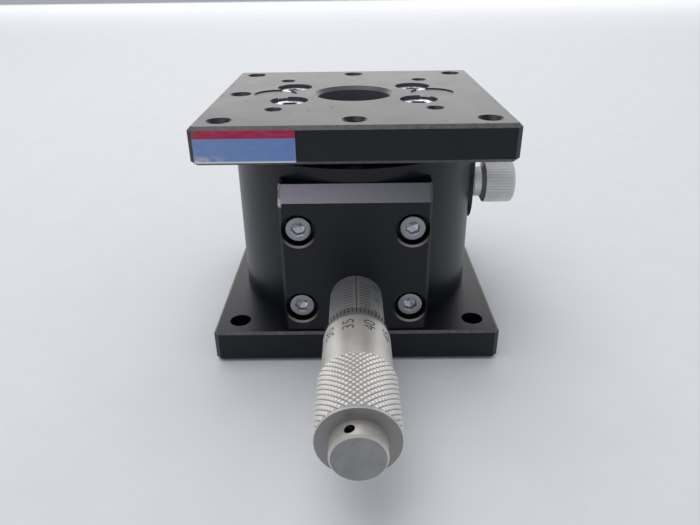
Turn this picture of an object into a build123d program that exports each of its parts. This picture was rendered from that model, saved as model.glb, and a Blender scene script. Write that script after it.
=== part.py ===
"""Vertical linear stage: a square table raised by a horizontal micrometer through a wedge.

Frame: millimetres, +Z up, origin at the middle of the base's underside. The micrometer
points to -Y and the clamp knob to +X. The model stands at the stored reading.
"""

import math
import os

from build123d import *

# ---------------------------------------------------------------- driving sizes
# plates
plate_overhang = 3.25
base_thickness = 7.2
table_thickness = 7.1
plate_corner_chamfer = 1.0
table_edge_chamfer = 0.7
base_top_chamfer = 0.5
base_bottom_chamfer = 0.8
corner_hole_edge = 5.0
base_hole_diameter = 4.5
inner_hole_pitch = 32.0
m4_tap_diameter = 3.3
m4_tap_mouth = 4.9
m3_tap_diameter = 2.5
m3_tap_mouth = 3.7
table_bore_diameter = 16.0
table_bore_chamfer = 0.8
relief_diameter = 9.4
relief_depth = 0.25
relief_pitch = 34.6

# housing
housing_diameter = 53.5
housing_height = 34.6
housing_wall = 4.05
housing_edge_chamfer = 0.4
lip_height = 0.8
table_stop_gap = 0.185

# motion
screw_pitch = 0.5
spindle_travel = 13.0
reading_at_rest = 10.37
wedge_rise_per_mm = 0.5

# micrometer bracket
bracket_width = 29.5
bracket_stand_out = 2.25
bracket_height = 31.5
bracket_slope_depth = 2.0
bracket_slope_height = 3.2
bracket_edge_chamfer = 0.6
bracket_screw_pitch_x = 22.35
bracket_screw_pitch_z = 17.15
bracket_screw_low = 5.4
bracket_counterbore_diameter = 6.5
bracket_counterbore_depth = 3.0
bracket_counterbore_chamfer = 0.35
bracket_head_diameter = 5.1
bracket_head_height = 2.0

# micrometer head
micrometer_height = 7.5
stem_diameter = 9.5
stem_nut_diameter = 14.0
stem_nut_thickness = 2.5
stem_nut_inset = 0.1
stem_end_overhang = 0.8
sleeve_diameter = 10.6
sleeve_length = 28.0
zero_line_offset = 2.2
spindle_diameter = 5.0
spindle_thread_diameter = 6.0
spindle_thread_length = 22.0
spindle_tip_inset = 15.0
adjusting_nut_length = 5.0
adjusting_nut_wall = 0.8
thimble_length = 28.3
thimble_bevel_length = 3.4
thimble_edge_diameter = 11.0
thimble_diameter = 12.2
knurl_diameter = 13.3
knurl_length = 13.5
knurl_end_chamfer = 0.47
thimble_back_wall = 1.9
cap_diameter = 8.6
cap_length = 3.2
cap_edge_chamfer = 0.3
spanner_hole_diameter = 1.6
spanner_hole_depth = 1.4
spanner_hole_angle = 17.0

# wedge and its rails
slab_width = 16.0
slab_length = 24.0
slab_thickness = 3.8
ridge_width = 5.2
ridge_height_at_roller = 3.0
pad_width = 10.0
pad_thickness = 3.0
pad_height = 7.0
anvil_diameter = 6.0
anvil_thickness = 1.5
anvil_proud = 0.5
rail_width = 3.0
rail_lip = 1.0
rail_lip_thickness = 1.2
rail_end_gap = 2.436
rail_screw_pitch_y = 24.0

# roller, fork and plunger
roller_diameter = 8.0
roller_width = 5.0
pin_diameter = 3.0
fork_length = 10.0
fork_leg_thickness = 3.8
fork_leg_below_pin = 3.0
fork_bridge = 2.6
fork_recess = 3.0
plunger_bore_diameter = 15.0
plunger_floor = 4.8
fork_screw_pitch = 9.2

# ball guide
ball_gap = 2.5
race_thickness = 1.2
cage_thickness = 1.5
cage_end_margin = 0.5
ball_rows = 3
balls_per_row = 20
ball_end_margin = 2.0

# key
key_width = 6.0
key_height = 9.0
key_engagement = 1.8
key_pocket = 0.3
key_bottom = 18.1
key_screw_pitch = 5.0

# springs
spring_edge_distance = 2.91
spring_rail_gap = 0.47
spring_wire = 0.5
spring_mean_diameter = 2.9
spring_pitch = 0.95
spring_hole_diameter = 4.2
hanger_below_screw = 1.5
anchor_diameter = 2.0
anchor_length = 4.3
post_seat_depth = 3.0
anchor_spring_overlap = 3.5

# clamp
clamp_height = 22.5
flat_inset = 0.75
clamp_plate_thickness = 1.0
clamp_plate_width = 11.6
clamp_plate_bottom = 14.0
clamp_plate_foot_thickness = 1.0
clamp_plate_edge = 0.6
clamp_slot_width = 4.4
clamp_slot_margin = 0.3
clamp_foot_screw_pitch = 7.0
clamp_screw_diameter = 4.0
clamp_screw_in_knob = 5.0
clamp_bushing_diameter = 6.5
clamp_washer_thickness = 0.6
knob_neck_diameter = 7.1
knob_neck_length = 1.72
knob_back_length = 0.85
knob_diameter = 9.9
knob_length = 6.75
knob_end_chamfer = 0.8

# bare plate on the table's front edge
label_width = 18.4
label_height = 5.9
label_thickness = 0.25
label_edge = 1.0

# screws: head diameter, head height, shank diameter, key width
m4_head_diameter = 7.0
m4_head_height = 4.0
m4_diameter = 4.0
m4_key = 3.0
m3_head_diameter = 5.5
m3_head_height = 2.8
m3_diameter = 3.0
m3_key = 2.5
small_head_diameter = 3.8
small_head_height = 1.6
small_diameter = 2.0
small_key = 1.5
table_counterbore_diameter = 8.0
table_counterbore_depth = 4.6
table_screw_edge_distance = 3.47
table_screw_angle = 28.9
table_screw_grip = 8.0
base_screw_grip = 6.0
rail_screw_grip = 3.4
key_screw_grip = 3.2
fork_screw_grip = 3.6

# clearances
running_gap = 0.03
seat_gap = 0.02
head_gap = 0.25
free_gap = 0.3
seal_gap = 0.1

# ---------------------------------------------------------------- derived places
plate_side = housing_diameter + 2 * plate_overhang
half_side = plate_side / 2
housing_radius = housing_diameter / 2
bore_radius = housing_radius - housing_wall
corner_hole_pitch = plate_side - 2 * corner_hole_edge
bracket_front = housing_radius + bracket_stand_out
slope_angle = math.atan(wedge_rise_per_mm)

travel_up = reading_at_rest * wedge_rise_per_mm
travel_down = (spindle_travel - reading_at_rest) * wedge_rise_per_mm
spindle_in = reading_at_rest
spindle_out = spindle_travel - reading_at_rest

base_top = base_thickness
housing_top = base_top + housing_height
table_bottom = housing_top + table_stop_gap + travel_down
table_top = table_bottom + table_thickness

slab_bottom = base_top + running_gap
slab_top = slab_bottom + slab_thickness
incline_at_centre = slab_top + ridge_height_at_roller
roller_radius = roller_diameter / 2
roller_z = incline_at_centre + (roller_radius + seat_gap) / math.cos(slope_angle)
roller_top = roller_z + roller_radius

fork_slot_top = roller_top + free_gap + seat_gap
fork_top = fork_slot_top + fork_bridge
plunger_bottom = fork_top - fork_recess
plunger_floor_top = fork_top + plunger_floor

race_outer_radius = bore_radius
race_inner_radius = race_outer_radius - race_thickness
plunger_radius = race_inner_radius - ball_gap
lip_bottom = housing_top - lip_height
cage_bottom = plunger_bottom + travel_up / 2 + cage_end_margin
cage_top = lip_bottom - travel_up / 2 - cage_end_margin
cage_middle_radius = plunger_radius + ball_gap / 2
ball_radius = ball_gap / 2 - running_gap

hanger_top = table_bottom - table_screw_grip - free_gap - hanger_below_screw
key_tip = plunger_radius - key_engagement
key_seat = bore_radius + key_pocket
key_z0 = base_top + key_bottom
key_z1 = key_z0 + key_height

micrometer_z = base_top + micrometer_height
stem_seat = bore_radius + stem_nut_inset
sleeve_radius = sleeve_diameter / 2
sleeve_back = bracket_front + sleeve_length
thimble_edge = bracket_front + zero_line_offset + reading_at_rest
thimble_back = thimble_edge + thimble_length
knurl_front = thimble_back - knurl_length
thimble_bore_radius = sleeve_radius + 2 * running_gap
anvil_face = -spindle_tip_inset
wedge_front = anvil_face + anvil_proud

clamp_z = base_top + clamp_height
flat_x = housing_radius - flat_inset
plate_inner_x = flat_x + running_gap
plate_outer_x = plate_inner_x + clamp_plate_thickness
washer_x = plate_outer_x + running_gap
neck_x = washer_x + clamp_washer_thickness + seat_gap
knob_neck_end = neck_x + knob_neck_length
knob_front_x = knob_neck_end + knob_back_length
knob_end_x = knob_front_x + knob_length


# ---------------------------------------------------------------- small helpers
def rod_x(radius, x0, x1, y=0.0, z=0.0):
    """Cylinder along X."""
    return Pos((x0 + x1) / 2, y, z) * Rot(0, 90, 0) * Cylinder(radius, abs(x1 - x0))


def rod_y(radius, y0, y1, x=0.0, z=0.0):
    """Cylinder along Y."""
    return Pos(x, (y0 + y1) / 2, z) * Rot(90, 0, 0) * Cylinder(radius, abs(y1 - y0))


def rod_z(radius, z0, z1, x=0.0, y=0.0):
    """Cylinder along Z."""
    return Pos(x, y, (z0 + z1) / 2) * Cylinder(radius, abs(z1 - z0))


def block(x0, x1, y0, y1, z0, z1):
    """Box between two corners."""
    middle = Pos((x0 + x1) / 2, (y0 + y1) / 2, (z0 + z1) / 2)
    return middle * Box(x1 - x0, y1 - y0, z1 - z0)


def tube_z(outer, inner, z0, z1):
    """Ring about the Z axis."""
    return rod_z(outer, z0, z1) - rod_z(inner, z0, z1)


def turned(profile, plane):
    """Solid of revolution: the profile's (radius, height) points turned about the plane's up axis."""
    outline = Polyline(*profile, close=True)
    return revolve(plane * make_face(outline), axis=Axis(plane.origin, plane.y_dir))


def micrometer_plane():
    """Profile plane of the micrometer: height runs outward along -Y from the stage's middle."""
    return Plane(origin=(0, 0, micrometer_z), x_dir=(1, 0, 0), z_dir=(0, 0, -1))


def clamp_plane():
    """Profile plane of the clamp: height runs outward along +X."""
    return Plane(origin=(0, 0, clamp_z), x_dir=(0, 1, 0), z_dir=(0, 0, -1))


def square_plate(z0, thickness, top_chamfer, bottom_chamfer):
    """Square plate with chamfered corners and edges."""
    plate = block(-half_side, half_side, -half_side, half_side, z0, z0 + thickness)
    plate = chamfer(plate.edges().filter_by(Axis.Z), plate_corner_chamfer)
    plate = chamfer(plate.faces().sort_by(Axis.Z)[-1].edges(), top_chamfer)
    return chamfer(plate.faces().sort_by(Axis.Z)[0].edges(), bottom_chamfer)


def tapped_hole(x, y, z_top, z_bottom, diameter, mouth):
    """Through hole with a countersunk mouth at its top."""
    depth = (mouth - diameter) / 2
    hole = rod_z(diameter / 2, z_bottom, z_top, x, y)
    sink = Pos(x, y, z_top - depth / 2) * Cone(diameter / 2, mouth / 2, depth)
    return hole + sink


def on_circle(radius, angle):
    """Point at an angle in degrees from +X."""
    return (radius * math.cos(math.radians(angle)), radius * math.sin(math.radians(angle)))


def corners(pitch_x, pitch_y):
    """Centres of a four-hole rectangle."""
    return [(sx * pitch_x / 2, sy * pitch_y / 2) for sx in (-1, 1) for sy in (-1, 1)]


def socket_screw(head_diameter, head_height, diameter, key, length):
    """Socket screw: head above z = 0 and shank below."""
    head = Pos(0, 0, head_height / 2) * Cylinder(head_diameter / 2, head_height)
    head = chamfer(head.edges().sort_by(Axis.Z)[-1], head_height * 0.1)
    hexagon = RegularPolygon(key / 2, 6, major_radius=False)
    socket = extrude(Pos(0, 0, head_height) * hexagon, -head_height * 0.55)
    shank = Pos(0, 0, -length / 2) * Cylinder(diameter / 2 - seat_gap, length)
    return head - socket + shank


def m4_screw(length):
    return socket_screw(m4_head_diameter, m4_head_height, m4_diameter, m4_key, length)


def m3_screw(length):
    return socket_screw(m3_head_diameter, m3_head_height, m3_diameter, m3_key, length)


def small_screw(length):
    return socket_screw(small_head_diameter, small_head_height, small_diameter, small_key, length)


def group(solids):
    """Separate solids kept in one node."""
    return Compound(children=solids)


# ---------------------------------------------------------------- base and housing
base_screw_radius = (bore_radius + housing_radius) / 2
base_screw_places = corners(base_screw_radius * math.sqrt(2), base_screw_radius * math.sqrt(2))
base_screw_seat = m3_head_height + head_gap
rail_screw_x = slab_width / 2 + running_gap + rail_width / 2
rail_screw_places = corners(2 * rail_screw_x, rail_screw_pitch_y)
rail_screw_seat = small_head_height + head_gap
spring_outer = (spring_mean_diameter + spring_wire) / 2
spring_x = slab_width / 2 + running_gap + rail_width + spring_rail_gap + spring_outer
spring_y = math.sqrt((plunger_radius - spring_edge_distance) ** 2 - spring_x**2)
spring_places = [(-spring_x, spring_y), (spring_x, -spring_y)]


def base_plate():
    plate = square_plate(0, base_thickness, base_top_chamfer, base_bottom_chamfer)
    for x, y in corners(corner_hole_pitch, corner_hole_pitch):
        plate -= rod_z(base_hole_diameter / 2, 0, base_top, x, y)
    for x, y in base_screw_places:
        plate -= rod_z(m3_diameter / 2 + seat_gap, 0, base_top, x, y)
        plate -= rod_z(m3_head_diameter / 2 + head_gap, 0, base_screw_seat, x, y)
    for x, y in rail_screw_places:
        plate -= rod_z(small_diameter / 2 + seat_gap, 0, base_top, x, y)
        plate -= rod_z(small_head_diameter / 2 + head_gap, 0, rail_screw_seat, x, y)
    for x, y in spring_places:
        plate -= rod_z(anchor_diameter / 2 + seat_gap, base_top - post_seat_depth, base_top, x, y)
    return plate


def base_screws():
    length = base_top - base_screw_seat + base_screw_grip
    screw = Rot(180, 0, 0) * m3_screw(length)
    return group([Pos(x, y, base_screw_seat) * screw for x, y in base_screw_places])


def bracket_screw_places():
    low = base_top + bracket_screw_low
    return [
        (side * bracket_screw_pitch_x / 2, low + row * bracket_screw_pitch_z)
        for side in (-1, 1)
        for row in (0, 1)
    ]


def housing():
    body = rod_z(housing_radius, base_top, housing_top)
    body = chamfer(body.edges().sort_by(Axis.Z)[-1], housing_edge_chamfer)
    body -= rod_z(bore_radius, base_top, lip_bottom)
    body -= rod_z(race_inner_radius, lip_bottom, housing_top)
    body -= rod_y(stem_diameter / 2 + seat_gap, -housing_radius, 0, z=micrometer_z)
    body -= rod_y(stem_nut_diameter / 2 + free_gap, -stem_seat, 0, z=micrometer_z)
    for x, z in bracket_screw_places():
        body -= rod_y(m3_diameter / 2, -housing_radius, 0, x=x, z=z)
    for x, y in base_screw_places:
        depth = base_screw_grip + free_gap
        body -= rod_z(m3_diameter / 2, base_top, base_top + depth, x, y)
    # milled flat for the clamp plate, and the seat of its threaded bushing
    flat_width = clamp_plate_width / 2 + running_gap
    body -= block(flat_x, housing_radius, -flat_width, flat_width, clamp_z - clamp_height, housing_top)
    body -= rod_x(clamp_bushing_diameter / 2, 0, housing_radius, z=clamp_z)
    # pocket and screw holes of the key
    half_key = key_width / 2 + running_gap
    body -= block(-half_key, half_key, 0, key_seat, key_z0 - running_gap, key_z1 + running_gap)
    for z in key_screw_heights():
        body -= rod_y(small_diameter / 2 + seat_gap, 0, housing_radius, z=z)
        body -= rod_y(small_head_diameter / 2 + head_gap, key_head_seat, housing_radius, z=z)
    return body


# ---------------------------------------------------------------- key and ball guide
key_head_seat = housing_radius - small_head_height - head_gap


def key_screw_heights():
    middle = (key_z0 + key_z1) / 2
    return [middle - key_screw_pitch / 2, middle + key_screw_pitch / 2]


def guide_key():
    key = block(-key_width / 2, key_width / 2, key_tip, key_seat, key_z0, key_z1)
    for z in key_screw_heights():
        key -= rod_y(small_diameter / 2, key_seat - key_screw_grip - free_gap, key_seat, z=z)
    return key


def key_screws():
    length = key_head_seat - key_seat + key_screw_grip
    screw = Rot(-90, 0, 0) * small_screw(length)
    return group([Pos(0, key_head_seat, z) * screw for z in key_screw_heights()])


def guide_race():
    race = tube_z(race_outer_radius, race_inner_radius, plunger_bottom, lip_bottom)
    half_key = key_width / 2 + running_gap
    race -= block(-half_key, half_key, 0, race_outer_radius, key_z0 - running_gap, key_z1 + running_gap)
    race -= rod_x(clamp_bushing_diameter / 2 + running_gap, 0, race_outer_radius, z=clamp_z)
    return race


def ball_places():
    """Ball centres of the guide: rows of equal steps, without the balls at the key's notch."""
    first = cage_bottom + ball_end_margin
    step_z = (cage_top - ball_end_margin - first) / (ball_rows - 1)
    half_notch = key_width / 2 + free_gap + 2 * ball_radius
    places = []
    for row in range(ball_rows):
        for index in range(balls_per_row):
            angle = 2 * math.pi * (index + 0.5 * (row % 2)) / balls_per_row
            x = cage_middle_radius * math.cos(angle)
            y = cage_middle_radius * math.sin(angle)
            if y < 0 or abs(x) > half_notch:
                places.append((x, y, first + row * step_z, math.degrees(angle)))
    return places


def ball_cage():
    inner = cage_middle_radius - cage_thickness / 2
    cage = tube_z(inner + cage_thickness, inner, cage_bottom, cage_top)
    notch_top = key_z1 + travel_down / 2 + free_gap
    half_notch = key_width / 2 + free_gap
    cage -= block(-half_notch, half_notch, 0, race_outer_radius, cage_bottom, notch_top)
    pocket = ball_radius + running_gap
    for x, y, z, angle in ball_places():
        cage -= Pos(x, y, z) * Rot(0, 0, angle) * Rot(0, 90, 0) * Cylinder(pocket, 2 * cage_thickness)
    return cage


def guide_balls():
    return group([Pos(x, y, z) * Sphere(ball_radius) for x, y, z, _ in ball_places()])


def dust_seal():
    return tube_z(race_inner_radius, plunger_radius + seal_gap, lip_bottom, housing_top)


# ---------------------------------------------------------------- bracket
def micrometer_bracket():
    half = bracket_width / 2
    top = base_top + bracket_height
    body = block(-half, half, -bracket_front, 0, base_top, top)
    slope = Polyline(
        (-bracket_front, top),
        (-bracket_front, top - bracket_slope_height),
        (-bracket_front + bracket_slope_depth, top),
        close=True,
    )
    body -= extrude(Plane.YZ * make_face(slope), half, both=True)
    slope_back = bracket_slope_depth - bracket_front
    front_corners = [
        edge
        for edge in body.edges().filter_by(Axis.X, reverse=True)
        if edge.center().Y < slope_back
    ]
    body = chamfer(front_corners, bracket_edge_chamfer)
    body -= rod_z(housing_radius + seat_gap, base_top, top)
    body -= block(-half, half, -bracket_front / 2, 0, base_top, top)
    body -= rod_y(stem_diameter / 2 + seat_gap, -bracket_front, 0, z=micrometer_z)
    for x, z in bracket_screw_places():
        floor = bracket_front - bracket_counterbore_depth
        body -= rod_y(m3_diameter / 2 + seat_gap, -bracket_front, 0, x=x, z=z)
        body -= rod_y(bracket_counterbore_diameter / 2, -bracket_front, -floor, x=x, z=z)
        narrow = bracket_counterbore_diameter / 2
        mouth = Cone(narrow, narrow + bracket_counterbore_chamfer, bracket_counterbore_chamfer)
        mouth_y = bracket_counterbore_chamfer / 2 - bracket_front
        body -= Pos(x, mouth_y, z) * Rot(90, 0, 0) * mouth
    return body


def bracket_screws():
    """Their tips stop short of the race behind the housing wall."""
    floor = bracket_front - bracket_counterbore_depth
    outer_edge = bracket_screw_pitch_x / 2 - m3_diameter / 2
    wall_inside = math.sqrt(race_outer_radius**2 - outer_edge**2)
    length = floor - wall_inside - seal_gap
    screw = socket_screw(bracket_head_diameter, bracket_head_height, m3_diameter, m3_key, length)
    screw = Rot(90, 0, 0) * screw
    return group([Pos(x, -floor, z) * screw for x, z in bracket_screw_places()])


# ---------------------------------------------------------------- micrometer head
def micrometer_sleeve():
    stem_end = stem_seat - stem_nut_thickness - stem_end_overhang
    stem = stem_diameter / 2
    thread_zone = sleeve_back - adjusting_nut_length
    nut_seat = sleeve_radius - adjusting_nut_wall
    body = turned(
        [
            (0, stem_end),
            (stem, stem_end),
            (stem, bracket_front),
            (sleeve_radius, bracket_front),
            (sleeve_radius, thread_zone),
            (nut_seat, thread_zone),
            (nut_seat, sleeve_back),
            (0, sleeve_back),
        ],
        micrometer_plane(),
    )
    body -= rod_y(spindle_diameter / 2 + running_gap, -sleeve_back, 0, z=micrometer_z)
    thread_front = spindle_thread_front() - spindle_in - free_gap
    thread_radius = spindle_thread_diameter / 2 + running_gap
    return body - rod_y(thread_radius, -sleeve_back, -thread_front, z=micrometer_z)


def sleeve_nut():
    seat = stem_seat
    inner = seat - stem_nut_thickness
    nut = rod_y(stem_nut_diameter / 2, -seat, -inner, z=micrometer_z)
    nut = chamfer(nut.edges().sort_by(Axis.Y)[-1], running_gap * 10)
    return nut - rod_y(stem_diameter / 2 + seat_gap, -seat, -inner, z=micrometer_z)


def adjusting_nut():
    front = sleeve_back - adjusting_nut_length + seat_gap
    nut = rod_y(sleeve_radius, -sleeve_back, -front, z=micrometer_z)
    bore = sleeve_radius - adjusting_nut_wall + seat_gap
    return nut - rod_y(bore, -sleeve_back, -front, z=micrometer_z)


def thimble():
    inner = thimble_bore_radius
    back = thimble_back - thimble_back_wall
    return turned(
        [
            (inner, thimble_edge),
            (thimble_edge_diameter / 2, thimble_edge),
            (thimble_diameter / 2, thimble_edge + thimble_bevel_length),
            (thimble_diameter / 2, knurl_front),
            (knurl_diameter / 2, knurl_front),
            (knurl_diameter / 2, thimble_back - knurl_end_chamfer),
            (knurl_diameter / 2 - knurl_end_chamfer, thimble_back),
            (spindle_diameter / 2 + seat_gap, thimble_back),
            (spindle_diameter / 2 + seat_gap, back),
            (inner, back),
        ],
        micrometer_plane(),
    )


def spindle_thread_front():
    return thimble_back - thimble_back_wall - spindle_thread_length


def spindle():
    tip = spindle_tip_inset + seat_gap
    thread_back = thimble_back - thimble_back_wall
    return turned(
        [
            (0, tip),
            (spindle_diameter / 2 - free_gap, tip),
            (spindle_diameter / 2, tip + free_gap),
            (spindle_diameter / 2, spindle_thread_front()),
            (spindle_thread_diameter / 2, spindle_thread_front()),
            (spindle_thread_diameter / 2, thread_back),
            (spindle_diameter / 2, thread_back),
            (spindle_diameter / 2, thimble_back + cap_length / 2),
            (0, thimble_back + cap_length / 2),
        ],
        micrometer_plane(),
    )


def thimble_cap():
    back = thimble_back + cap_length
    cap = rod_y(cap_diameter / 2, -back, -thimble_back, z=micrometer_z)
    cap = chamfer(cap.edges().sort_by(Axis.Y)[0], cap_edge_chamfer)
    socket = rod_y(
        spindle_diameter / 2 + seat_gap,
        -thimble_back - cap_length / 2 - seat_gap,
        -thimble_back,
        z=micrometer_z,
    )
    hole_bottom = cap_diameter / 2 - spanner_hole_depth
    hole = rod_z(spanner_hole_diameter / 2, hole_bottom, cap_diameter / 2 + cap_edge_chamfer)
    middle = Pos(0, -thimble_back - cap_length / 2, micrometer_z)
    return cap - socket - middle * Rot(0, -spanner_hole_angle, 0) * hole


# ---------------------------------------------------------------- wedge
def cam_wedge():
    back = wedge_front + slab_length
    slab = block(-slab_width / 2, slab_width / 2, wedge_front, back, slab_bottom, slab_top)
    foot = ridge_height_at_roller / wedge_rise_per_mm
    crest_y = -(spindle_in + roller_radius * math.sin(slope_angle) + free_gap)
    crest = incline_at_centre - crest_y * wedge_rise_per_mm
    side = Polyline(
        (wedge_front, slab_top - seat_gap),
        (wedge_front, crest),
        (crest_y, crest),
        (foot, slab_top),
        (foot, slab_top - seat_gap),
        close=True,
    )
    ridge = extrude(Plane.YZ * make_face(side), ridge_width / 2, both=True)
    pad_back = wedge_front + pad_thickness
    pad = block(-pad_width / 2, pad_width / 2, wedge_front, pad_back, slab_top, slab_top + pad_height)
    pocket = anvil_thickness - anvil_proud
    seat = rod_y(anvil_diameter / 2, wedge_front, wedge_front + pocket, z=micrometer_z)
    return slab + ridge + pad - seat


def wedge_anvil():
    return rod_y(anvil_diameter / 2, anvil_face, anvil_face + anvil_thickness, z=micrometer_z)


def wedge_rail(side):
    inner = slab_width / 2 + running_gap
    lip_bottom_z = slab_top + running_gap
    top = lip_bottom_z + rail_lip_thickness
    half = math.sqrt((bore_radius - rail_end_gap) ** 2 - (inner + rail_width) ** 2)
    rail = block(inner, inner + rail_width, -half, half, base_top, top)
    rail += block(inner - rail_lip, inner, -half, half, lip_bottom_z, top)
    for y in (-rail_screw_pitch_y / 2, rail_screw_pitch_y / 2):
        rail -= rod_z(small_diameter / 2, base_top, base_top + rail_screw_grip + free_gap, rail_screw_x, y)
    return rail if side > 0 else mirror(rail, about=Plane.YZ)


def rail_screws():
    length = base_top - rail_screw_seat + rail_screw_grip
    screw = Rot(180, 0, 0) * small_screw(length)
    return group([Pos(x, y, rail_screw_seat) * screw for x, y in rail_screw_places])


# ---------------------------------------------------------------- plunger group
fork_half_width = roller_width / 2 + 0.2 + fork_leg_thickness
table_screw_x, table_screw_y = on_circle(plunger_radius - table_screw_edge_distance, table_screw_angle)
table_screw_places = corners(2 * table_screw_x, 2 * table_screw_y)
fork_screw_places = [(-fork_screw_pitch / 2, 0), (fork_screw_pitch / 2, 0)]


def plunger():
    body = rod_z(plunger_radius, plunger_bottom, table_bottom)
    body -= rod_z(plunger_bore_diameter / 2, plunger_floor_top, table_bottom)
    wide = fork_half_width + seat_gap
    long = fork_length / 2 + seat_gap
    body -= block(-wide, wide, -long, long, plunger_bottom, fork_top)
    for x, y in fork_screw_places:
        body -= rod_z(m3_diameter / 2 + seat_gap, fork_top, plunger_floor_top, x, y)
    for x, y in table_screw_places:
        body -= rod_z(m4_diameter / 2, table_bottom - table_screw_grip - free_gap, table_bottom, x, y)
    slot_top = key_z1 + travel_down + free_gap
    half_key = key_width / 2 + running_gap
    slot_floor = key_tip - running_gap * 5
    body -= block(-half_key, half_key, slot_floor, plunger_radius, plunger_bottom, slot_top)
    for x, y in spring_places:
        body -= rod_z(spring_hole_diameter / 2, plunger_bottom, hanger_top, x, y)
    return body


def roller_fork():
    bottom = roller_z - fork_leg_below_pin
    half = fork_length / 2
    fork = block(-fork_half_width, fork_half_width, -half, half, bottom, fork_top)
    slot = roller_width / 2 + 0.2
    fork -= block(-slot, slot, -half, half, bottom, fork_slot_top)
    fork -= rod_x(pin_diameter / 2, -fork_half_width, fork_half_width, z=roller_z)
    for x, y in fork_screw_places:
        fork -= rod_z(m3_diameter / 2, fork_top - fork_screw_grip - seal_gap, fork_top, x, y)
    return fork


def roller_pin():
    return rod_x(pin_diameter / 2 - seat_gap, -fork_half_width, fork_half_width, z=roller_z)


def cam_roller():
    half = roller_width / 2
    roller = rod_x(roller_radius, -half, half, z=roller_z)
    roller = chamfer(roller.edges().filter_by(GeomType.CIRCLE), seal_gap * 3)
    return roller - rod_x(pin_diameter / 2 + running_gap, -half, half, z=roller_z)


def fork_screws():
    screw = m3_screw(plunger_floor + fork_screw_grip)
    return group([Pos(x, y, plunger_floor_top) * screw for x, y in fork_screw_places])


def spring_posts():
    radius = anchor_diameter / 2
    bottom = base_top - post_seat_depth
    top = base_top + anchor_length
    return group([rod_z(radius, bottom, top, x, y) for x, y in spring_places])


def spring_hangers():
    radius = anchor_diameter / 2
    low = hanger_top - anchor_length
    return group([rod_z(radius, low, hanger_top, x, y) for x, y in spring_places])


def return_springs():
    bottom = base_top + anchor_length - anchor_spring_overlap
    top = hanger_top - anchor_length + anchor_spring_overlap
    coil = Helix(spring_pitch, top - bottom, spring_mean_diameter / 2)
    wire = Plane(origin=coil @ 0, z_dir=coil % 0) * Circle(spring_wire / 2)
    spring = sweep(wire, path=coil, is_frenet=True)
    return group([Pos(x, y, bottom) * spring for x, y in spring_places])


# ---------------------------------------------------------------- table
def table_plate():
    plate = square_plate(table_bottom, table_thickness, table_edge_chamfer, table_edge_chamfer)
    half_pitch = corner_hole_pitch / 2
    m4_places = corners(corner_hole_pitch, corner_hole_pitch)
    m4_places += [(0, -half_pitch), (0, half_pitch), (-half_pitch, 0)]
    for x, y in m4_places:
        plate -= tapped_hole(x, y, table_top, table_bottom, m4_tap_diameter, m4_tap_mouth)
    for x, y in corners(inner_hole_pitch, inner_hole_pitch):
        plate -= tapped_hole(x, y, table_top, table_bottom, m3_tap_diameter, m3_tap_mouth)
    mouth = table_bore_diameter + 2 * table_bore_chamfer
    plate -= tapped_hole(0, 0, table_top, table_bottom, table_bore_diameter, mouth)
    seat = table_top - table_counterbore_depth
    for x, y in table_screw_places:
        plate -= rod_z(m4_diameter / 2 + seat_gap, table_bottom, table_top, x, y)
        plate -= rod_z(table_counterbore_diameter / 2, seat, table_top, x, y)
    for x in (-relief_pitch / 2, relief_pitch / 2):
        plate -= rod_z(relief_diameter / 2, table_top - relief_depth, table_top, x, 0)
    for y in foot_screw_places():
        plate -= rod_z(small_diameter / 2, table_bottom, table_bottom + foot_screw_depth(), foot_screw_x(), y)
    return plate


def table_screws():
    seat = table_top - table_counterbore_depth
    length = seat - table_bottom + table_screw_grip
    return group([Pos(x, y, seat) * m4_screw(length) for x, y in table_screw_places])


def front_label():
    middle = (table_bottom + table_top) / 2
    low = middle - label_height / 2
    front = -half_side - label_thickness
    left = label_edge - half_side
    plate = block(left, left + label_width, front, -half_side, low, low + label_height)
    return fillet(plate.edges().filter_by(Axis.Y), free_gap)


# ---------------------------------------------------------------- clamp
def foot_screw_x():
    return (plate_outer_x + half_side - clamp_plate_edge) / 2


def foot_screw_places():
    return (-clamp_foot_screw_pitch / 2, clamp_foot_screw_pitch / 2)


def foot_screw_depth():
    return table_thickness / 2


def clamp_plate():
    """Angle plate under the table: its slotted leg slides between housing and knob."""
    half = clamp_plate_width / 2
    end_z = base_top + clamp_plate_bottom + half
    leg = block(plate_inner_x, plate_outer_x, -half, half, end_z, table_bottom)
    leg += rod_x(half, plate_inner_x, plate_outer_x, z=end_z)
    slot_low = clamp_z - travel_up - clamp_slot_margin
    slot_high = clamp_z + travel_down + clamp_slot_margin
    wide = clamp_slot_width / 2
    leg -= block(plate_inner_x, plate_outer_x, -wide, wide, slot_low, slot_high)
    leg -= rod_x(wide, plate_inner_x, plate_outer_x, z=slot_low)
    leg -= rod_x(wide, plate_inner_x, plate_outer_x, z=slot_high)
    foot_bottom = table_bottom - clamp_plate_foot_thickness
    foot = block(plate_inner_x, half_side - clamp_plate_edge, -half, half, foot_bottom, table_bottom)
    for y in foot_screw_places():
        foot -= rod_z(small_diameter / 2 + seat_gap, foot_bottom, table_bottom, foot_screw_x(), y)
    return leg + foot


def clamp_plate_screws():
    """Low heads, set in from the table's edge."""
    length = clamp_plate_foot_thickness + foot_screw_depth() - free_gap
    head = small_head_height / 2
    diameter = 2 * (foot_screw_x() - plate_outer_x) - seat_gap
    screw = Rot(180, 0, 0) * socket_screw(diameter, head, small_diameter, small_key / 2, length)
    bottom = table_bottom - clamp_plate_foot_thickness
    return group([Pos(foot_screw_x(), y, bottom) * screw for y in foot_screw_places()])


def clamp_bushing():
    outer = clamp_bushing_diameter / 2
    inner = clamp_screw_diameter / 2 + running_gap
    start = race_outer_radius + seal_gap
    bushing = rod_x(outer, start, flat_x, z=clamp_z)
    return bushing - rod_x(inner, start, flat_x, z=clamp_z)


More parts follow.
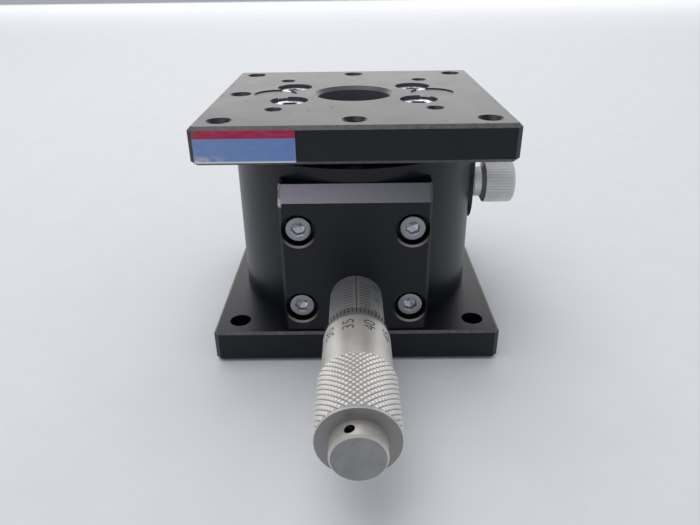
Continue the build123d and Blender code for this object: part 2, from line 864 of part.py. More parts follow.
def clamp_washer():
    inner = clamp_screw_diameter / 2 + running_gap
    end = washer_x + clamp_washer_thickness
    washer = rod_x(knob_neck_diameter / 2, washer_x, end, z=clamp_z)
    return washer - rod_x(inner, washer_x, end, z=clamp_z)


def clamp_screw():
    start = race_outer_radius + seal_gap
    end = knob_front_x + clamp_screw_in_knob
    screw = rod_x(clamp_screw_diameter / 2, start, end, z=clamp_z)
    return chamfer(screw.edges().sort_by(Axis.X)[0], free_gap)


def clamp_knob():
    neck = knob_neck_diameter / 2
    outer = knob_diameter / 2
    socket = clamp_screw_diameter / 2 + seat_gap
    socket_end = knob_front_x + clamp_screw_in_knob + seat_gap
    return turned(
        [
            (socket, neck_x),
            (neck, neck_x),
            (neck, knob_neck_end),
            (outer, knob_front_x),
            (outer, knob_end_x - knob_end_chamfer),
            (outer - knob_end_chamfer, knob_end_x),
            (0, knob_end_x),
            (0, socket_end),
            (socket, socket_end),
        ],
        clamp_plane(),
    )


# ---------------------------------------------------------------- write the nodes
nodes = {
    "base_plate": base_plate(),
    "base_screws": base_screws(),
    "housing": housing(),
    "guide_key": guide_key(),
    "key_screws": key_screws(),
    "guide_race": guide_race(),
    "ball_cage": ball_cage(),
    "guide_balls": guide_balls(),
    "dust_seal": dust_seal(),
    "micrometer_bracket": micrometer_bracket(),
    "bracket_screws": bracket_screws(),
    "micrometer_sleeve": micrometer_sleeve(),
    "sleeve_nut": sleeve_nut(),
    "adjusting_nut": adjusting_nut(),
    "thimble": thimble(),
    "spindle": spindle(),
    "thimble_cap": thimble_cap(),
    "cam_wedge": cam_wedge(),
    "wedge_anvil": wedge_anvil(),
    "wedge_rail_left": wedge_rail(-1),
    "wedge_rail_right": wedge_rail(1),
    "rail_screws": rail_screws(),
    "plunger": plunger(),
    "roller_fork": roller_fork(),
    "roller_pin": roller_pin(),
    "cam_roller": cam_roller(),
    "fork_screws": fork_screws(),
    "spring_posts": spring_posts(),
    "spring_hangers": spring_hangers(),
    "return_springs": return_springs(),
    "table_plate": table_plate(),
    "table_screws": table_screws(),
    "front_label": front_label(),
    "clamp_plate": clamp_plate(),
    "clamp_plate_screws": clamp_plate_screws(),
    "clamp_bushing": clamp_bushing(),
    "clamp_washer": clamp_washer(),
    "clamp_screw": clamp_screw(),
    "clamp_knob": clamp_knob(),
}

os.makedirs("parts", exist_ok=True)
for name, shape in nodes.items():
    export_step(shape, f"parts/{name}.step")
print(f"{len(nodes)} nodes; table top {table_top:.3f}, roller axis {roller_z:.3f}, clamp axis {clamp_z:.3f}")
print(f"table travel {-travel_down:.3f} to {travel_up:.3f}, spindle {-spindle_out:.3f} to {spindle_in:.3f}")
print(f"turns {-spindle_out / screw_pitch:.2f} to {spindle_in / screw_pitch:.2f}")
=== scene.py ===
# %% [markdown]
# # A vertical stage, dressed piece by piece
# The machine is a square table that rises when a micrometer screw pushes a hidden wedge. Its metal
# blocks already have their true shapes, so they are loaded as they are and get a finish. The pieces
# that carry fine detail, such as knurls, engraved lines and screw sockets, are modelled here.
# Everything is in metres, so a value in millimetres is multiplied by `mm`.

# %% Load the frame
import math

import bmesh
import bpy
from mathutils import Matrix, Vector


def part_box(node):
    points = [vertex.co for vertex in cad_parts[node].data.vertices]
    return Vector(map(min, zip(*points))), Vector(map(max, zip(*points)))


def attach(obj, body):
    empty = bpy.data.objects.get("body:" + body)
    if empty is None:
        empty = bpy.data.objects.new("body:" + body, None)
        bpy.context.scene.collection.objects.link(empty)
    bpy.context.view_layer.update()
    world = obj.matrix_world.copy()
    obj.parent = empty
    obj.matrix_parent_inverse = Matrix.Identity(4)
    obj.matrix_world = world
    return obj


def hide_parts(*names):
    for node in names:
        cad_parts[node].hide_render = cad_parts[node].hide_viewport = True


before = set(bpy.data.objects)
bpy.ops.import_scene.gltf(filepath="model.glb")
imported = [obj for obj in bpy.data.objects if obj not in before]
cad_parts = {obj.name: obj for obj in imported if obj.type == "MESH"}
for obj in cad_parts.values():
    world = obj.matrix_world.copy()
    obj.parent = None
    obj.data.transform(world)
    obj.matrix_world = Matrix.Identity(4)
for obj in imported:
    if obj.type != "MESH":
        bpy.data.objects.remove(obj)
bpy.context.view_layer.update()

mm = 0.001


def in_mm(values):
    return [round(value / mm, 2) for value in values]


# %% [markdown]
# ## Places that several steps share
# The finishes and the modelled pieces meet at the same axes and screws, so each place is named once.
# The floor is at zero height, and the middle of the table is above the origin.

# %% Shared places
machine_axis = (0, 0, 0)
micrometer_axis = (0, 0, 14.7 * mm)
knob_axis = (0, 0, 29.7 * mm)
along_micrometer = (micrometer_axis, "Y")
table_screw_x, table_screw_y = 13.6 * mm, 7.5 * mm
bracket_screw_x, bracket_screw_rows = 11.175 * mm, (12.6 * mm, 29.75 * mm)
bracket_front = -29.0 * mm
table_bottom = 43.3 * mm
corners = [(x, y) for x in (-1, 1) for y in (-1, 1)]
print("the micrometer's axis is at", in_mm(micrometer_axis))

# %% [markdown]
# ## Finishes are small node trees
# A finish is a Principled shader whose colour, roughness and bump come from a few texture nodes.
# The same few nodes return in every finish, so each gets a helper: one adds a node, one gives the
# place on the piece, one turns a texture into a range of values, and one mixes two colours.
# Numbers that are the same all over a surface are typed straight into the shader.

# %% Helpers for node trees
def srgb(red, green, blue):
    """A screen colour, 0 to 255, as the linear colour that Blender calculates with."""
    shares = [value / 255 for value in (red, green, blue)]
    return (*(((v + 0.055) / 1.055) ** 2.4 if v > 10 / 255 else v / 12.92 for v in shares), 1.0)


class Finish:
    """A material with one Principled shader and short names for the nodes that feed it."""

    def __init__(self, name, metallic=0.0, specular=0.5):
        self.material = bpy.data.materials.new(name)
        self.material.use_nodes = True
        self.nodes = self.material.node_tree.nodes
        self.links = self.material.node_tree.links
        self.shader = self.nodes["Principled BSDF"]
        self.shader.inputs["Metallic"].default_value = metallic
        self.shader.inputs["Specular IOR Level"].default_value = specular

    def add(self, kind, *sources, **settings):
        """Adds a node, sets its settings and feeds its first inputs with values or nodes' outputs."""
        node = self.nodes.new(kind)
        for setting, value in settings.items():
            setattr(node, setting, value)
        for number, source in enumerate(sources):
            self.feed(node.inputs[number], source)
        return node

    def feed(self, socket, source):
        if isinstance(source, bpy.types.NodeSocket):
            self.links.new(source, socket)
        elif source is not None:
            socket.default_value = source

    def math(self, operation, *sources):
        return self.add("ShaderNodeMath", *sources, operation=operation).outputs[0]

    def vector(self, operation, *sources, output=0):
        return self.add("ShaderNodeVectorMath", *sources, operation=operation).outputs[output]

    def product(self, first, *others):
        """Several amounts from 0 to 1 multiplied, so that all of them must hold."""
        for other in others:
            first = self.math("MULTIPLY", first, other)
        return first

    def place(self, moved=(0, 0, 0), stretch=(1, 1, 1)):
        """The place on the piece, in metres, counted from the point `moved`."""
        shift = self.vector("SUBTRACT", self.add("ShaderNodeTexCoord").outputs["Object"], tuple(moved))
        return self.vector("MULTIPLY", shift, tuple(stretch))

    def facing(self):
        """The X, Y and Z parts of the way that the surface faces."""
        return self.axes(self.add("ShaderNodeTexCoord").outputs["Normal"])

    def axes(self, vector):
        return self.add("ShaderNodeSeparateXYZ", vector).outputs

    def distance(self, first, second):
        """The distance from an axis, given the two coordinates square to it."""
        flat = self.add("ShaderNodeCombineXYZ", first, second, 0.0).outputs[0]
        return self.vector("LENGTH", flat, output="Value")

    def from_nearest(self, first, second, far_first, far_second):
        """The distance from the nearest of four axes, at plus and minus two distances."""
        return self.distance(
            self.math("SUBTRACT", self.math("ABSOLUTE", first), far_first),
            self.math("SUBTRACT", self.math("ABSOLUTE", second), far_second),
        )

    def noise(self, vector, size, detail=3.0):
        """Soft random spots of about `size` metres, from 0 to 1."""
        node = self.add("ShaderNodeTexNoise")
        self.feed(node.inputs["Vector"], vector)
        node.inputs["Scale"].default_value = 1 / size
        node.inputs["Detail"].default_value = detail
        return node.outputs["Fac"]

    def span(self, source, low, high, to_low=0.0, to_high=1.0):
        """Turns the range low..high of a value into to_low..to_high, and stops at both ends."""
        return self.add("ShaderNodeMapRange", source, low, high, to_low, to_high, clamp=True).outputs[0]

    def blend(self, amount, colour, other):
        node = self.add("ShaderNodeMix", data_type="RGBA")
        self.feed(node.inputs[0], amount)
        self.feed(node.inputs[6], colour)
        self.feed(node.inputs[7], other)
        return node.outputs[2]

    def bump(self, height, depth, under=None):
        """Raises the surface by up to `depth` metres where `height` is 1."""
        node = self.add("ShaderNodeBump")
        node.inputs["Distance"].default_value = depth
        self.feed(node.inputs["Height"], height)
        self.feed(node.inputs["Normal"], under)
        return node.outputs[0]

    def rings(self, centre, axis, size):
        """Fine grooves as a lathe leaves them, round an axis through `centre`."""
        x, y, z = self.axes(self.place(centre))
        along, first, second = {"X": (x, y, z), "Y": (y, x, z), "Z": (z, x, y)}[axis]
        turn = self.math("MULTIPLY", self.math("ARCTAN2", first, second), 0.1 * mm)
        groove = self.add("ShaderNodeCombineXYZ", self.distance(first, second), along, turn).outputs[0]
        return self.noise(groove, size, 2.0)

    def finish(self, colour, roughness, normal=None):
        self.feed(self.shader.inputs["Base Color"], colour)
        self.feed(self.shader.inputs["Roughness"], roughness)
        self.feed(self.shader.inputs["Normal"], normal)
        print("finish", self.material.name, "uses", len(self.nodes), "nodes")
        return self.material


# %% [markdown]
# ## Black anodised aluminium
# The plates, the housing and the bracket are aluminium with a matt black oxide. Up close the oxide
# has a fine grain, its black drifts a little between two cold blacks, and the outer chamfers are
# painted pale, partly as wear where hands and screws touch them and partly as a painted highlight
# where they catch the light. These chamfers are found by the slope of the surface and their distance
# from the middle, so the pale edge follows every edge with no painting by hand.

# %% Black finish with worn and highlighted edges
oxide_dark, oxide_light, edge_wear_and_highlight_grey = srgb(9, 13, 23), srgb(15, 19, 28), srgb(150, 148, 144)
oxide_smoothest, oxide_roughest = 0.34, 0.48
chamfers_from = 28.9 * mm


def black_finish(name, grooves=None, wear_and_light=None):
    """Matt black; the last argument adds the worn marks and the painted light that only this piece has."""
    black = Finish(name, specular=0.34)
    spot = black.place()
    cloud = black.noise(spot, 9 * mm)
    grain = black.noise(spot, 0.22 * mm, 4.0)
    fine = black.noise(spot, 0.9 * mm, 5.0)
    colour = black.blend(black.span(cloud, 0.35, 0.65), oxide_dark, oxide_light)
    slope = black.math("ABSOLUTE", black.facing()[2])
    chamfer = black.product(black.span(slope, 0.3, 0.5), black.span(slope, 0.97, 0.85))
    x, y, z = black.axes(spot)
    outermost = black.math("MAXIMUM", black.math("ABSOLUTE", x), black.math("ABSOLUTE", y))
    # painted highlight and wear: the outer chamfers are painted pale
    edge_rub_and_highlight = black.product(chamfer, black.span(outermost, chamfers_from, chamfers_from + 0.2 * mm))
    colour = black.blend(black.product(edge_rub_and_highlight, black.span(fine, 0.3, 0.8, 0.25, 0.5)), colour, edge_wear_and_highlight_grey)
    if wear_and_light:
        colour = wear_and_light(black, colour)
    scuff = black.span(black.noise(black.place(stretch=(1, 0.25, 1)), 1.6 * mm, 6.0), 0.66, 0.8)
    rough = black.span(black.math("ADD", cloud, scuff), 0.3, 1.7, oxide_smoothest, oxide_roughest)
    relief = black.bump(grain, 0.008 * mm)
    if grooves:
        relief = black.bump(black.rings(*grooves, 0.16 * mm), 0.006 * mm, relief)
    return black.finish(colour, rough, relief)


black_anodised = black_finish("Black anodised")
black_turned = black_finish("Black anodised, turned", grooves=(machine_axis, "Z"))

# %% [markdown]
# The table's counterbores, its bore and the walls of its small holes are painted a paler grey, a
# painted fill light for the light that scatters down into them. The counterbores and the bore are
# found by their distance from their own axes, and the walls of the small holes by facing sideways
# near the table's middle.

# %% Table finish
painted_fill_grey = srgb(92, 92, 98)
counterbore_mouth, bore_mouth, outermost_small_hole = 4.04 * mm, 8.8 * mm, 22.2 * mm


def paler_inside(black, colour):
    x, y, z = black.axes(black.place())
    from_screw = black.from_nearest(x, y, table_screw_x, table_screw_y)
    from_middle = black.distance(x, y)
    in_counterbore = black.span(from_screw, counterbore_mouth + 0.06 * mm, counterbore_mouth, 0.0, 0.6)
    in_bore = black.span(from_middle, bore_mouth + 0.05 * mm, bore_mouth)
    wall = black.span(black.math("ABSOLUTE", black.facing()[2]), 0.5, 0.3, 0.0, 0.8)
    in_small_hole = black.product(
        wall, black.span(from_middle, outermost_small_hole + 0.1 * mm, outermost_small_hole)
    )
    inside = black.math("MAXIMUM", black.math("MAXIMUM", in_counterbore, in_bore), in_small_hole)
    # painted fill light: the hollows are painted a paler grey
    return black.blend(inside, colour, painted_fill_grey)


black_table = black_finish("Black anodised, table", wear_and_light=paler_inside)

# %% [markdown]
# The bracket's sloped top edge faces the light and is painted paler, partly as wear from handling
# and partly as painted light from above. It is a paler, warmer grey at the left that fades to the
# right. Its left corner is nicked down to the bare metal, and each screw's counterbore has a painted
# highlight, a bright crescent on the upward-facing part of its lower mouth. All of it is found by
# place and by the way the surface faces, so the rest of the block keeps the black.

# %% Bracket finish
slope_low = 35.5 * mm
slope_left, slope_right, slope_mottle = srgb(176, 168, 180), srgb(104, 107, 109), srgb(120, 116, 124)
bare_corner, bare_nick, painted_highlight_crescent = srgb(205, 205, 215), srgb(190, 190, 198), srgb(146, 143, 136)
bracket_side = 15 * mm
crescent_inner, crescent_outer = 3.2 * mm, 3.64 * mm


def handled_slope(black, colour):
    x, y, z = black.axes(black.place())
    upright = black.facing()[2]
    on_slope = black.product(
        black.span(z, slope_low - 0.12 * mm, slope_low + 0.05 * mm),
        black.span(upright, 0.3, 0.45),
        black.span(upright, 0.97, 0.9),
    )
    # painted light from above, partly wear: the slope is paler at the left and fades to the right
    fade = black.blend(black.span(x, -bracket_side, bracket_side), slope_left, slope_right)
    mottle = black.span(black.noise(black.place(), 1.1 * mm), 0.2, 0.9, 0.0, 0.3)
    return black.blend(on_slope, colour, black.blend(mottle, fade, slope_mottle))


def nicked_corner(black, colour):
    x, y, z = black.axes(black.place())
    from_edge = black.math("ABSOLUTE", black.math("SUBTRACT", z, slope_low))
    corner = black.product(
        black.span(x, -13.9 * mm, -14.4 * mm), black.span(from_edge, 1.0 * mm, 0.4 * mm)
    )
    colour = black.blend(corner, colour, bare_corner)
    nicks = black.product(
        black.span(x, -14.1 * mm, -14.3 * mm),
        black.span(z, slope_low - 0.2 * mm, slope_low),
        black.span(black.noise(black.place(), 0.6 * mm, 5.0), 0.5, 0.6, 0.0, 0.8),
    )
    return black.blend(nicks, colour, bare_nick)


def bright_crescents(black, colour):
    x, y, z = black.axes(black.place())
    low_row, high_row = bracket_screw_rows
    above_middle = black.math("SUBTRACT", z, (low_row + high_row) / 2)
    from_screw = black.from_nearest(x, above_middle, bracket_screw_x, (high_row - low_row) / 2)
    # painted highlight: a bright crescent where each counterbore's mouth faces up towards the light
    crescent = black.product(
        black.span(from_screw, crescent_inner, crescent_inner + 0.05 * mm),
        black.span(from_screw, crescent_outer, crescent_outer - 0.04 * mm),
        black.span(y, bracket_front + 0.4 * mm, bracket_front + 0.34 * mm),
        black.span(black.facing()[2], 0.3, 0.7),
    )
    return black.blend(crescent, colour, painted_highlight_crescent)


def bracket_wear(black, colour):
    return bright_crescents(black, nicked_corner(black, handled_slope(black, colour)))


black_bracket = black_finish("Black anodised, bracket", wear_and_light=bracket_wear)

# %% [markdown]
# ## Satin chrome, steel, brass and the rest
# The micrometer is plated with satin chrome: pale, a little warm, with grain that runs round its
# axis. Steel pieces inside are ground and keep a bluer tone. Each bare metal is a metallic shader
# whose roughness changes with its grooves, which is what makes the highlights look turned.
# Some faces are painted darker: the flat fronts of the screws and the thimble's end get a painted
# reflection of a darker floor, the thimble's bevel a painted reflection of the dark bracket, and the
# bottoms of the knurl's grooves are darker too. The sleeve's chrome is a darker copy, a painted shade
# from the bracket above it. A small function finds each of them.

# %% Metals
darker_grey, stain_brown = srgb(120, 120, 121), srgb(96, 92, 88)
thimble_bevel_end, bevel_fade = -45.1 * mm, 0.3 * mm
knurl_top, knurl_bottom = 6.5 * mm, 6.38 * mm


def metal_finish(
    name, light, dark, roughness, grooves=None, size=0.12 * mm, depth=0.004 * mm, metallic=1.0, shade=None
):
    """Bare or plated metal; `shade` picks the part of it that is darker."""
    metal = Finish(name, metallic=metallic)
    spot = metal.place()
    cloud = metal.noise(spot, 5 * mm)
    speck = metal.noise(spot, 0.3 * mm, 6.0)
    lines = metal.rings(*grooves, size) if grooves else metal.noise(metal.place(stretch=(1, 6, 1)), size, 3.0)
    tone = metal.math("ADD", metal.math("MULTIPLY", cloud, 0.6), metal.math("MULTIPLY", lines, 0.4))
    colour = metal.blend(metal.span(tone, 0.35, 0.65), dark, light)
    colour = metal.blend(metal.span(speck, 0.68, 0.8, 0.0, 0.5), colour, stain_brown)
    if shade:
        colour = metal.blend(shade(metal), colour, darker_grey)
    rough = metal.span(lines, 0.3, 0.7, roughness - 0.05, roughness + 0.08)
    relief = metal.bump(lines, depth)
    return metal.finish(colour, rough, metal.bump(speck, depth * 0.7, relief))


# painted reflection: flat faces that face the front are painted darker, as if mirroring a darker floor
def on_front(metal):
    return metal.span(metal.facing()[1], -0.96, -0.985, 0.0, 0.8)


# painted reflection of the dark bracket on the thimble's bevel, and of a darker floor on its flat end
def on_bevel_and_end(metal):
    along = metal.axes(metal.place())[1]
    bevel = metal.span(along, thimble_bevel_end, thimble_bevel_end + bevel_fade, 0.0, 0.6)
    return metal.math("MAXIMUM", bevel, on_front(metal))


def in_grooves(metal):
    x, y, z = metal.axes(metal.place(micrometer_axis))
    return metal.span(metal.distance(x, z), knurl_top, knurl_bottom, 0.0, 0.75)


satin_chrome = metal_finish(
    "Satin chrome", srgb(224, 221, 215), srgb(208, 206, 203), 0.48, along_micrometer,
    metallic=0.88, shade=on_bevel_and_end,
)
knurl_chrome = metal_finish(
    "Satin chrome, knurl", srgb(240, 237, 232), srgb(226, 223, 218), 0.52, along_micrometer,
    metallic=0.85, shade=in_grooves,
)
# painted shade: the sleeve is a darker copy of the satin chrome, for the bracket's shade over it
sleeve_chrome = metal_finish(
    "Satin chrome, sleeve", srgb(198, 197, 195), srgb(180, 179, 178), 0.46, along_micrometer,
    metallic=0.88,
)
knob_silver = metal_finish(
    "Clear anodised, knob", srgb(232, 231, 228), srgb(216, 215, 212), 0.48, (knob_axis, "X"),
    metallic=0.75,
)
bright_steel = metal_finish(
    "Bright screw steel", srgb(214, 216, 222), srgb(190, 192, 200), 0.2, depth=0.002 * mm, shade=on_front
)
hard_steel = metal_finish(
    "Ground hard steel", srgb(186, 189, 195), srgb(160, 163, 170), 0.26, size=0.2 * mm
)
spring_steel = metal_finish("Spring steel", srgb(150, 150, 152), srgb(116, 116, 120), 0.33)
hard_anodised = metal_finish(
    "Hard anodised", srgb(128, 124, 136), srgb(104, 101, 112), 0.5, (machine_axis, "Z"), metallic=0.25
)
brass = metal_finish("Brass", srgb(214, 180, 108), srgb(192, 156, 86), 0.3)
dark_steel = metal_finish("Blackened steel", srgb(62, 62, 66), srgb(40, 40, 44), 0.38)

# %% [markdown]
# The end cap is the same chrome with one drilled hole for a pin spanner. Inside the hole it is
# painted nearly black, a painted shade. Its place is measured from the hole's own axis. The flat end
# is painted darker, a painted reflection of a darker floor; it is patchy, and its turned rings show.

# %% Cap finish
hole_middle, hole_lean = (0, -71.47 * mm, 14.7 * mm), math.radians(17)
hole_way = (-math.sin(hole_lean), 0, math.cos(hole_lean))
hole_radius, hole_from, hole_to = 0.8 * mm, 2.8 * mm, 4.1 * mm


def cap_hole(cap):
    """How far a place is inside the hole: near its axis, and between two depths along it."""
    spot = cap.place(hole_middle)
    height = cap.vector("DOT_PRODUCT", spot, hole_way, output="Value")
    along = cap.add("ShaderNodeVectorMath", hole_way, operation="SCALE")
    cap.feed(along.inputs["Scale"], height)
    aside = cap.vector("LENGTH", cap.vector("SUBTRACT", spot, along.outputs[0]), output="Value")
    return cap.product(
        cap.span(aside, hole_radius + 0.06 * mm, hole_radius),
        cap.span(height, hole_from - 0.2 * mm, hole_from),
        cap.span(height, hole_to + 0.18 * mm, hole_to),
    )


cap = Finish("Satin chrome, cap", metallic=0.85)
lines = cap.rings(micrometer_axis, "Y", 0.12 * mm)
worn = cap.span(cap.noise(cap.place(), 1.4 * mm, 5.0), 0.55, 0.75, 0.0, 0.4)
side_colour = cap.blend(lines, srgb(198, 194, 186), srgb(216, 212, 204))
side_colour = cap.blend(worn, side_colour, srgb(186, 180, 166))
# painted shade: inside the spanner hole is painted nearly black
side_colour = cap.blend(cap_hole(cap), side_colour, srgb(30, 26, 28))
end_patches = cap.span(cap.noise(cap.place(), 3.0 * mm, 4.0), 0.35, 0.65)
# painted reflection: the flat end is painted darker in patches, as if mirroring a darker floor
end_colour = cap.blend(end_patches, srgb(96, 98, 104), srgb(128, 129, 134))
end_colour = cap.blend(cap.span(lines, 0.5, 0.8, 0.0, 0.5), end_colour, srgb(150, 150, 152))
on_end = cap.span(cap.facing()[1], -0.9, -0.98, 0.0, 0.7)
cap_chrome = cap.finish(
    cap.blend(on_end, side_colour, end_colour),
    cap.span(lines, 0.3, 0.7, 0.42, 0.54),
    cap.bump(lines, 0.004 * mm),
)

# %% [markdown]
# Felt is a soft grey-brown mat of short hairs: rough, with two sizes of noise for its fluff. The
# engraved marks are filled with matt black ink that has worn thin in places.

# %% Felt and ink
felt = Finish("Seal felt", specular=0.1)
hairs = felt.noise(felt.place(stretch=(1, 1, 3)), 0.18 * mm, 6.0)
tufts = felt.noise(felt.place(), 1.2 * mm, 4.0)
seal_felt = felt.finish(
    felt.blend(hairs, srgb(66, 62, 58), srgb(112, 106, 98)),
    felt.span(tufts, 0.3, 0.7, 0.85, 0.98),
    felt.bump(felt.math("ADD", hairs, tufts), 0.05 * mm),
)

ink = Finish("Mark ink", specular=0.2)
worn = ink.noise(ink.place(), 0.25 * mm, 5.0)
mark_ink = ink.finish(
    ink.blend(ink.span(worn, 0.5, 0.8), srgb(52, 52, 56), srgb(104, 104, 104)),
    ink.span(worn, 0.3, 0.7, 0.55, 0.75),
    ink.bump(worn, 0.004 * mm),
)

# %% [markdown]
# The thin plate on the table's front edge is printed foil: a red strip over a silver-blue field. It
# carries no words here. Its lower left has been rubbed white, its lower edge is pale, and the top
# left corner has browned.

# %% Foil plate finish
label_low, label_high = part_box("front_label")
left, bottom = label_low.x, label_low.z
right, top = label_high.x, label_high.z
strip_height, pale_edge, print_blur = 1.45 * mm, 0.2 * mm, 0.05 * mm
foil = Finish("Printed foil", metallic=0.35)
x, y, z = foil.axes(foil.place())
blot = foil.noise(foil.place(), 1.3 * mm, 5.0)
scratch = foil.noise(foil.place(stretch=(0.15, 1, 1)), 0.35 * mm, 5.0)
field = foil.blend(foil.span(x, left, right), srgb(122, 148, 196), srgb(108, 140, 198))
field = foil.blend(foil.span(blot, 0.45, 0.75, 0.0, 0.25), field, srgb(150, 168, 208))
rubbed = foil.product(
    foil.span(x, left + 6 * mm, left + 1 * mm),
    foil.span(z, bottom + 1.5 * mm, bottom + 0.4 * mm),
    foil.span(blot, 0.4, 0.5),
)
field = foil.blend(rubbed, field, srgb(214, 206, 208))
red = foil.blend(foil.span(scratch, 0.4, 0.7, 0.0, 0.6), srgb(168, 34, 74), srgb(196, 70, 104))
strip_edge = top - strip_height
foil_colour = foil.blend(foil.span(z, strip_edge - print_blur, strip_edge + print_blur), field, red)
on_edge = foil.span(z, bottom + 2 * pale_edge, bottom + pale_edge)
foil_colour = foil.blend(on_edge, foil_colour, srgb(224, 226, 230))
browned = foil.product(
    foil.span(x, left + 1.1 * mm, left + 0.5 * mm), foil.span(z, top - 1.2 * mm, top - 0.6 * mm)
)
printed_foil = foil.finish(
    foil.blend(browned, foil_colour, srgb(120, 92, 84)),
    foil.span(scratch, 0.3, 0.7, 0.3, 0.5),
    foil.bump(blot, 0.03 * mm),
)

# %% [markdown]
# ## Give every solid its finish
# Each solid keeps its shape and gets the finish of its real metal. A dictionary from finish to pieces
# is easy to read and shows at once if a piece is missing.

# %% Finishes of the solids
finishes = {
    black_anodised: "base_plate",
    black_table: "table_plate",
    black_turned: "housing",
    black_bracket: "micrometer_bracket",
    dark_steel: "clamp_plate clamp_plate_screws base_screws rail_screws key_screws fork_screws",
    satin_chrome: "thimble adjusting_nut",
    sleeve_chrome: "micrometer_sleeve",
    cap_chrome: "thimble_cap",
    hard_anodised: "plunger",
    knob_silver: "clamp_knob",
    bright_steel: "bracket_screws table_screws clamp_washer",
    hard_steel: "sleeve_nut spindle cam_wedge wedge_anvil wedge_rail_left wedge_rail_right cam_roller"
    " roller_pin roller_fork guide_race guide_balls guide_key clamp_screw spring_posts spring_hangers",
    spring_steel: "return_springs",
    brass: "ball_cage clamp_bushing",
    seal_felt: "dust_seal",
    printed_foil: "front_label",
}
finished = set()
for material, names in finishes.items():
    for name in names.split():
        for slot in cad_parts[name].material_slots:
            slot.material = material
        finished.add(name)
print(len(finished), "solids finished, without one:", sorted(set(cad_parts) - finished))

# %% [markdown]
# ## Modelling helpers
# An operator works on whatever is selected, so each new piece starts with nothing selected, and faces
# are then picked by a test on their middle and normal, as one would click them. Scaling and turning
# are always about the origin, because every piece is drawn there and put in its place at the end.

# %% Helpers for modelling
def clear_selection():
    if bpy.context.mode != "OBJECT":
        bpy.ops.object.mode_set(mode="OBJECT")
    bpy.ops.object.select_all(action="DESELECT")


def select(*pieces):
    """Selects pieces in object mode; the first one is the active one."""
    clear_selection()
    for piece in pieces:
        piece.select_set(True)
    bpy.context.view_layer.objects.active = pieces[0]


def edit(piece):
    select(piece)
    bpy.ops.object.mode_set(mode="EDIT")


def leave_edit():
    bpy.ops.object.mode_set(mode="OBJECT")


def start_edit(name):
    """Names the primitive just added and opens it in edit mode."""
    piece = bpy.context.active_object
    piece.name = piece.data.name = name
    bpy.ops.object.transform_apply(location=True, rotation=True, scale=True)
    bpy.ops.object.mode_set(mode="EDIT")
    return piece


def pick_all():
    bpy.ops.mesh.select_all(action="SELECT")


def pick(kind, test):
    """Selects the vertices, edges or faces whose middle and normal pass the test."""
    piece = bpy.context.edit_object
    bpy.context.tool_settings.mesh_select_mode = (kind == "VERT", kind == "EDGE", kind == "FACE")
    bpy.ops.mesh.select_all(action="DESELECT")
    mesh = bmesh.from_edit_mesh(piece.data)
    count = 0
    for part in {"VERT": mesh.verts, "EDGE": mesh.edges, "FACE": mesh.faces}[kind]:
        points = [part] if kind == "VERT" else part.verts
        middle = sum((point.co for point in points), Vector()) / len(points)
        if test(middle, part.normal if kind == "FACE" else None):
            part.select_set(True)
            count += 1
    mesh.select_flush_mode()
    bmesh.update_edit_mesh(piece.data)
    return count


def scale(x, y, z=1.0):
    bpy.ops.transform.resize(value=(x, y, z), center_override=(0, 0, 0))


def rotate(degrees, axis):
    bpy.ops.transform.rotate(value=math.radians(degrees), orient_axis=axis, center_override=(0, 0, 0))


def extrude(distance):
    """Draws the picked part out along Z."""
    bpy.ops.mesh.extrude_region_move(TRANSFORM_OT_translate={"value": (0, 0, distance)})


def close_up():
    """Merges the seam and turns every face outwards, then leaves edit mode."""
    bpy.context.tool_settings.mesh_select_mode = (True, False, False)
    pick_all()
    bpy.ops.mesh.remove_doubles(threshold=0.0005 * mm)
    bpy.ops.mesh.normals_make_consistent(inside=False)
    leave_edit()


# %% [markdown]
# A finished piece is settled: its place and turn are written into its mesh, and its object goes back
# to the origin. Repeated pieces are copied and joined, and every piece is handed over in one way.

# %% Helpers for placing
def turned_by(degrees, axis):
    return Matrix.Rotation(math.radians(degrees), 4, axis)


def settle(piece, placing=None):
    """Puts a piece in its place and writes that into its mesh, so that it sits at the origin."""
    if placing is not None:
        piece.matrix_world = placing
    select(piece)
    bpy.ops.object.transform_apply(location=True, rotation=True, scale=True)


def smooth(piece, degrees=35):
    select(piece)
    bpy.ops.object.shade_smooth_by_angle(angle=math.radians(degrees))


def modify(piece, kind, **settings):
    """Adds a modifier and applies it."""
    select(piece)
    modifier = piece.modifiers.new(kind.title(), kind)
    for setting, value in settings.items():
        setattr(modifier, setting, value)
    bpy.ops.object.modifier_apply(modifier=modifier.name)


def join(pieces):
    select(*pieces)
    bpy.ops.object.join()
    return pieces[0]


def copies(piece, placings):
    """Copies a piece, each copy with its own mesh, puts the copies in place and joins them all."""
    pieces = [piece]
    for _ in placings[1:]:
        other = piece.copy()
        other.data = piece.data.copy()
        bpy.context.scene.collection.objects.link(other)
        pieces.append(other)
    for one, placing in zip(pieces, placings):
        settle(one, placing)
    return join(pieces)


def hand_over(piece, body, material, slot, *replaced):
    """Gives a finished piece its finish, its moving body and the solid that it stands for."""
    if not piece.data.materials:
        piece.data.materials.append(material)
    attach(piece, body)
    if replaced:
        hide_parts(*replaced)
    print(piece.name, "has", len(piece.data.polygons), "faces and rides on", body)


# %% [markdown]
# ## Socket head screws
# A socket screw is turned from bar: a fluted cylindrical head, a rounded rim, and a six-sided socket
# with a cone at its bottom where the punch stopped. One screw is modelled upright at the origin with
# its head's underside at zero: a cylinder is fluted by drawing in every second edge, its top is inset
# for the rim and again for the socket, and the socket is cut with a six-sided punch by a boolean.

# %% One socket screw
head_sides, head_rim, shank_tip = 96, 0.28 * mm, 0.3 * mm


